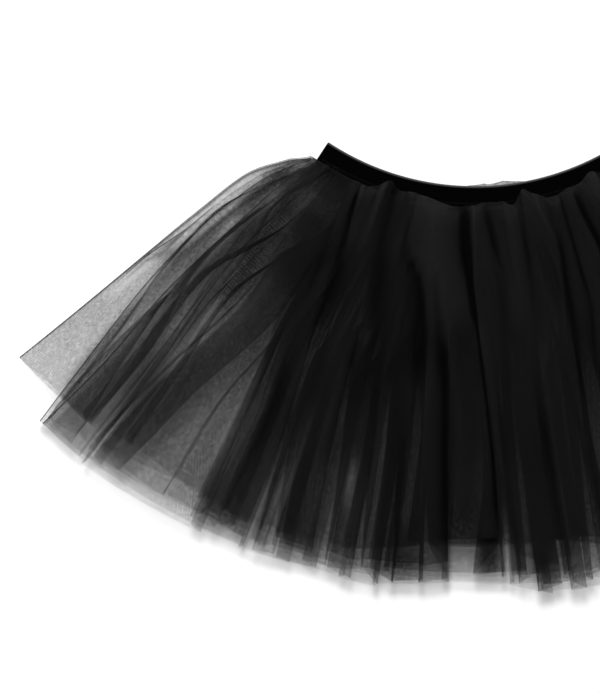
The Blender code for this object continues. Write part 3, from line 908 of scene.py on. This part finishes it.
# Where the middle and outer rings lie looser together, so that light comes through, or tighter
# (below zero).
LOOSE = tuple(Fold(*row) for row in (
    ((534, 553, 575), (-12.95, -12.55, -12.75), 0.4, 0.62),
    ((585, 620, 650), (-20.1, -20.15, -20.2), 0.3, 0.6),
    ((575, 650), (-19, -18.95), 0.2, 0.5),
    ((470, 500, 515), (-36.2, -36.3, -36.4), 0.35, 0.5),
    ((382, 400), (-38.8, -38.9), 0.35, 0.4),
    ((336, 352, 366), (-35, -35.6, -36.2), 0.35, 0.6),
    ((360, 380, 405), (-32, -32.3, -33), 0.25, 0.3),
    ((316, 330), (-33.7, -34.7), 0.35, 0.6),
    ((595, 640), (3, 3.1), 0.4, 0.6),
    ((630, 660), (-10.2, -10.2), 0.25, 0.5),
    ((637, 663), (7.9, 7.9), 0.25, 0.5),
    ((445, 540), (-38, -38.4), 2, 0.14),
    ((480, 600), (-28.5, -28.6), 2, 0.08),
    ((316, 345, 365), (-37.2, -38.6, -39.2), 1.6, -0.7),
    ((302, 316, 330), (-36.6, -37.6, -39.2), 1.3, -0.85),
    ((460, 485, 520), (-43.4, -43.9, -44.4), 0.7, 0.45),
    ((335, 362, 400, 445), (-33.2, -33.5, -33.8, -33.4), 1.7, -0.75),
    ((335, 360, 395), (-28.4, -28.4, -28), 2.6, -0.8),
    ((470, 610), (-1.2, -0.9), 1.4, -0.4),
    ((512, 565, 622), (-41.4, -41.4, -41.15), 0.5, -0.7),
    ((606, 655), (-6.5, -6.4), 1.3, -0.8),
    ((608, 655), (1.3, 1.4), 0.9, -0.9),
    ((600, 655), (5.65, 5.6), 0.35, -0.8),
    ((500, 610), (-39.5, -39.6), 0.7, 0.22),
    ((452, 590), (-36.1, -36), 1, -0.32),
    ((335, 392, 435), (-36.2, -35.4, -34.9), 1.1, 0.5),
    ((368, 435), (-31.4, -31.1), 0.9, -0.28),
    ((440, 580), (-32.4, -32.4), 0.6, -0.22),
    ((452, 585), (-25.5, -25.7), 0.8, 0.34),
    ((375, 540), (-20.7, -20.5), 0.8, -0.3),
    ((435, 550), (-15.5, -15.4), 1, -0.35),
    ((500, 590), (-18.5, -18.6), 0.6, 0.32),
    ((450, 500, 535), (-34.1, -34.4, -34.7), 0.5, 0.6),
    ((525, 590), (-36.6, -36.5), 0.7, -0.4),
    ((400, 450), (-39.6, -39.5), 0.6, -0.22),
    ((372, 392), (-37.6, -37.5), 0.7, -0.3),
    ((328, 350), (-35.7, -35.5), 1, 0.3),
    ((560, 600), (-41.4, -41.3), 0.8, -0.2),
    ((535, 650), (-11.7, -11.8), 0.9, 0.3),
))


# In the middle of the fan the laps reach well under each other near the waist.
BROAD_LAP, NARROW_LAP = 28, 5.5
MIDDLE_HALF_ANGLE = 24
LEAST_HIGH_LAP = 26

rng = np.random.default_rng(5)
front_level, back_level = level(10.9, 11.5), level(2.1, 3.25)
middle_front = []
for pleat in (SIDE_PLEATS[0], *PLEATS, SIDE_PLEATS[1]):
    lap_at_hem = abs(pleat.wide_hem)
    width = 0.97 if lap_at_hem > BROAD_LAP else rng.uniform(0.8, 1.1)
    if lap_at_hem > NARROW_LAP and abs(pleat.hem) < MIDDLE_HALF_ANGLE:
        wide_high = max(LEAST_HIGH_LAP, 1.5 * abs(pleat.wide_high))
        pleat = pleat._replace(wide_high=math.copysign(wide_high, pleat.wide_hem))
    strength = rng.uniform(0.6, 1.1) * (1.5 if lap_at_hem < NARROW_LAP else 1.0)
    middle_front += columns_of([pleat], front_level, lap, strength, width)
middle_back = back_pleats(rng, 12, 39, lambda angle: 658, (3, 18))
middle_back = columns_of(middle_back, back_level, lap, strength=0.5)
middle_loop = ring_columns("middle", middle_front, middle_back, front_level, back_level)
middle_ring = lay_ring(
    "tulle_ring_middle", middle_loop, MIDDLE_FULL, crimp_height=0.35, seed=2, spacing=3.5, loose=LOOSE
)
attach(middle_ring, "root")
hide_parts("tulle_middle")


# ------------
# Outer ring of tulle. The widest lying and the shortest. Its front is sewn on face down and
# rolls up over the elastic in soft puffs before it falls; its back lies flat on the table.

Puff = namedtuple("Puff", "angle half_width reach")
PUFFS = tuple(Puff(*row) for row in (
    (-29.5, 1.6, 2),
    (-26, 1.6, -4),
    (-22.5, 1.2, -3.5),
    (-17.6, 1.9, 11.5),
    (-12.8, 2.6, 6.5),
    (-9.2, 2, 3.5),
    (-3.6, 1.3, -5),
    (1.6, 1, 3),
    (3.2, 0.9, 3),
    (5.2, 0.9, 3.5),
    (7.4, 0.8, -3),
    (9.8, 1.4, 12),
    (12, 1.4, 5),
    (15.6, 1.4, -4),
    (19.2, 2, 2),
    (24, 2.2, 9),
    (27.5, 1.3, -3),
    (30, 1.6, 4),
))
ROLL_FADE = 5.0
OUTER_HEM_ANGLES = (
    -46, -36.4, -35.8, -32.8, -31.6, -26, -25, -22, -20.4, -17, -14, -10, -5, -2.4, -2.3, 0, 1.2, 2.2,
    2.4, 3, 4, 7, 8.5, 9.5, 11, 12, 20, 26, 28, 32.8, 35.8, 36.4, 46,
)
OUTER_HEM_RADII = (
    632, 632, 645, 648, 631, 637, 648, 648, 644, 647, 648, 650, 646, 642, 623, 619, 617, 617,
    620, 622, 640, 650, 640, 622, 626, 640, 646, 640, 634, 648, 645, 632, 632,
)
OUTER_BACK_HEM_ANGLES = (-30, -24, -7, -6, 12, 13, 24, 30)
OUTER_BACK_HEM_RADII = (631, 645, 645, 626, 626, 645, 645, 631)
OUTER_SEAM_CORNER = SIDE_ANGLES["outer_corner"][0]
PILLOW_RISE = 5.5
TROUGH = 1.6
SWELL_FULL_WIDTH = 30
SWELL_STARTS, SWELL_FADES = (287, 306), (350, 520)
# How much lighter the colour is painted where the front swells up, a painted highlight.
SWELL_PAINTED_LIGHT = 0.03


def puff_reach(angle):
    return sum(p.reach * np.exp(-(((angle - p.angle) / p.half_width) ** 2)) for p in PUFFS)


# The cloth swells between folds that start at the waist: their angle at three radii.
SWELL_PLACES = (290, 350, 420)
SWELL_FOLDS = (
    (-26.2, -24.9, -24), (-23.5, -22.2, -21.2), (-16.6, -16.2, -15), (-13.6, -11.6, -7.4),
    (-2.4, -1.5, 0.4), (1.2, 4.2, 4.3), (8.8, 8.8, 8.6), (14.2, 14.4, 13.4), (17, 16.8, 16),
    (20.6, 21.2, 21), (27.2, 28, 28.8),
)
swell_lines = [np.interp(row_radius, SWELL_PLACES, places) for places in SWELL_FOLDS]
outer_side, outer_corner = side_rows["outer"], side_rows["outer_corner"]
swell_edges = np.stack([-outer_corner, *swell_lines, outer_corner], axis=1)

# Painted light and shade of the puffs: soft folds painted darker, lit ridges painted lighter, and
# how much lighter or darker the colour is painted there.
PAINTED_FOLD_SHADING = tuple(Fold(*row) for row in (
    ((300, 330, 360), (-30.5, -29.5, -29), 2.6, 0.12),
    ((312, 345, 380, 412), (-26, -24.9, -24.3, -23.9), 0.45, -0.3),
    ((286, 335), (-22.7, -22.1), 0.45, 0.3),
    ((303, 340, 365, 385, 455), (-23.3, -22.4, -21.8, -21.5, -21.1), 0.38, -0.9),
    ((281, 300, 330, 400, 465), (-17, -16.4, -16, -14.8, -13.6), 1.2, -0.28),
    ((276, 300, 350, 400, 475), (-19.2, -19, -18.5, -18, -17.9), 0.6, 0.28),
    ((376, 400, 436), (-16.8, -16.2, -15), 0.2, 0.3),
    ((280, 320, 360, 405), (-9.2, -8, -6.5, -4.5), 3.4, 0.34),
    ((340, 365, 385, 415, 455), (-11.6, -8.8, -7.9, -7.4, -7), 0.7, -0.55),
    ((360, 400, 455), (-6.5, -5.2, -4.4), 0.7, -0.35),
    ((281, 320, 350), (-2.2, -1.9, -1.3), 1.15, -0.6),
    ((325, 375, 404), (-1.6, -0.6, 0), 0.5, -0.9),
    ((390, 430, 470), (0, 0.55, 1.05), 0.18, -0.7),
    ((284, 330, 380, 425), (-0.45, -0.1, 0.2, 0.8), 0.25, 0.3),
    ((406, 455), (-3.7, -3.1), 0.2, 0.35),
    ((292, 315, 340), (2.5, 3.2, 3.4), 0.8, -0.3),
    ((280, 300, 315, 330, 355), (1.1, 3.1, 4.2, 4.6, 4.2), 0.25, 0.3),
    ((282, 340, 410), (6.2, 6.2, 6), 1.3, 0.15),
    ((312, 358), (8.8, 8.7), 0.5, -0.2),
    ((274, 304), (9.7, 9.8), 0.4, 0.25),
    ((276, 310, 330, 345, 380, 400, 455), (10.9, 12.9, 14.1, 13.8, 13, 12.7, 12.2), 0.25, 0.3),
    ((326, 370, 450, 486), (14.7, 14.1, 13.2, 12.9), 0.7, -0.35),
    ((296, 400, 430, 460), (16.8, 16.8, 15.8, 15.2), 0.3, -0.3),
    ((300, 340, 380, 440), (19.9, 20.8, 21.2, 21), 0.45, -0.8),
    ((278, 330, 400), (24, 25, 24.6), 2, 0.25),
    ((305, 360, 430), (27.3, 28.2, 28.9), 0.5, -0.5),
    ((290, 340), (30.4, 32.4), 0.9, 0.15),
    ((425, 500, 560, 610), (-4, -3.5, -3.1, -2.8), 0.5, -0.45),
    ((500, 560, 620), (-8.1, -7.6, -7.4), 0.5, -0.25),
    ((425, 520, 620), (-6, -5.8, -5.6), 0.35, 0.2),
    ((425, 500, 580), (-2.7, -2.1, -1.5), 0.35, 0.15),
    ((440, 480, 540, 615), (0.8, 1.3, 1.85, 2.1), 0.25, -0.4),
    ((425, 480, 540), (-18.3, -18.2, -18.2), 0.8, 0.2),
    ((475, 520, 570), (-22.6, -22.4, -22.4), 0.8, -0.4),
    ((440, 500, 560), (-15.4, -15, -15.2), 0.9, -0.2),
    ((440, 500, 620), (-10.4, -9.6, -9), 1.1, -0.15),
    ((350, 410, 460, 500), (-20.4, -19.6, -18.8, -18.4), 2.1, -0.22),
    ((345, 400, 450, 500), (-14.6, -13.6, -12.8, -12.4), 1.9, -0.24),
    ((352, 400, 450), (-9.4, -8.8, -8), 2.2, -0.26),
    ((395, 440, 480), (-2.4, -1.6, -1), 1.6, -0.13),
    ((490, 520, 550), (3.4, 3.4, 3.6), 1.4, -0.14),
    ((490, 525, 560), (7.6, 7.6, 7.8), 1.6, -0.16),
    ((610, 650), (-1.6, -1.4), 1.4, -0.4),
    ((372, 420, 470, 550), (-21, -20.8, -20.6, -20.5), 0.8, -0.3),
    ((425, 550), (-15.3, -15.2), 0.8, -0.3),
))


def swell(angle):
    """How far the front swells up at each row and angle."""
    bump = np.zeros_like(angle)
    for row in range(len(row_radius)):
        edges = np.sort(swell_edges[row])
        index = np.clip(np.searchsorted(edges, angle[row]) - 1, 0, len(edges) - 2)
        width = edges[index + 1] - edges[index]
        t = np.clip((angle[row] - edges[index]) / width, 0, 1)
        rise = PILLOW_RISE * np.minimum(1, width * np.radians(1) * row_radius[row] / SWELL_FULL_WIDTH)
        bump[row] = rise * np.sqrt(np.maximum(0, 4 * t * (1 - t))) - TROUGH
    kept = smoothstep(row_radius, *SWELL_STARTS) * (1 - smoothstep(row_radius, *SWELL_FADES))
    return bump * kept[:, None]


def roll_over_band(angle, radius, height, face, front):
    """Lays the outer front over the band in its roll, which fades towards the sides."""
    seam_angle = angle * OUTER_SEAM_CORNER / outer_corner[:, None]
    share = np.clip((OUTER_SEAM_CORNER - np.abs(seam_angle)) / ROLL_FADE, 0, 1)
    rows = {name: values[:, None] for name, values in station_rows.items()}
    rolled = rows["roll_radius"] - rows["roll_share"] * puff_reach(seam_angle)
    new_radius = radius + (rolled - rows["radius"]) * share + height * rows["outward"]
    surface = rows["side_height"] + (rows["height"] - rows["side_height"]) * share
    swollen = swell(angle) * share
    new_height = surface + swollen + height * rows["upward"]
    # Painted light and shade: the colour is painted lighter on lit ridges and where the front swells, and
    # darker in its folds.
    painted_light = np.clip(face + fold_total(angle, PAINTED_FOLD_SHADING) + SWELL_PAINTED_LIGHT * swollen, 0.02, 1)
    return radius + front * (new_radius - radius), height + front * (new_height - height), painted_light


def outer_reach(angle, step):
    return step + float(np.interp(angle, OUTER_HEM_ANGLES, OUTER_HEM_RADII))


def outer_back_hem(angle):
    return float(np.interp(angle, OUTER_BACK_HEM_ANGLES, OUTER_BACK_HEM_RADII))


def shifted(pleat, turn):
    places = [getattr(pleat, name) + turn for name in ("waist", "high", "middle", "low", "hem")]
    return Pleat(pleat.start, *places, *pleat[6:])


rng = np.random.default_rng(8)
zero = 0 * down
outer_lap = level(2.6, 2.2)
outer_front = []
for pleat in PLEATS:
    moved = shifted(pleat, rng.uniform(-0.15, 0.2))
    edge_reach = outer_reach(pleat.hem, rng.uniform(-1, 3))
    under_reach = outer_reach(pleat.hem - math.copysign(0.15, pleat.wide_hem), rng.uniform(-3, 1))
    strength = rng.uniform(0.6, 1.1)
    outer_front += pleat_columns(moved, edge_reach, under_reach, zero, outer_lap, strength)

table_height = level(0.5, 0.5)
sag = level(0.35, 1.2)
outer_back = back_pleats(rng, 13, 42, outer_back_hem, (4, 18))
outer_back = columns_of(outer_back, table_height + sag, -sag, strength=0.5)
outer_back = [turn._replace(front=0.0) for turn in outer_back]

nominal = hem_rows(HEM)
# Painted light level of the outer ring's sides.
side_painted_light = HIDDEN_PAINTED_LIGHT + zero


def side_tuck(sign, first):
    """A crisp fold that leaves the front's corner at one radius and runs out to the side."""
    out = 0.03 + 0.77 * smoothstep(row_radius, first, first + 70)
    crease = 0.6 * smoothstep(row_radius, first - 12, first)
    crease *= 1 - smoothstep(row_radius, first + 50, first + 130)
    angle = sign * (outer_corner + (outer_side - outer_corner) * out)
    return Column(angle, nominal, table_height, crease, side_painted_light, 1 - out)


corner_radii = hem_rows(HEM - 3)
side_crease = SIDE_CREASE + zero
outer_loop = [
    Column(-outer_side, nominal, table_height, side_crease, side_painted_light, 0.0, SIDE_TURN),
    side_tuck(-1, 402),
    Column(-outer_corner, corner_radii, zero, zero, side_painted_light, 1.0),
    *outer_front,
    Column(outer_corner, corner_radii, zero, zero, side_painted_light, 1.0),
    side_tuck(1, 425),
    Column(outer_side, nominal, table_height, side_crease, side_painted_light, 0.0, SIDE_TURN),
    *outer_back[::-1],
]
outer_ring = lay_ring(
    "tulle_ring_outer", outer_loop, OUTER_FULL, crimp_height=0.1, seed=3, spacing=2.4,
    loose=LOOSE, drape=roll_over_band,
)
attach(outer_ring, "root")
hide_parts("tulle_outer")
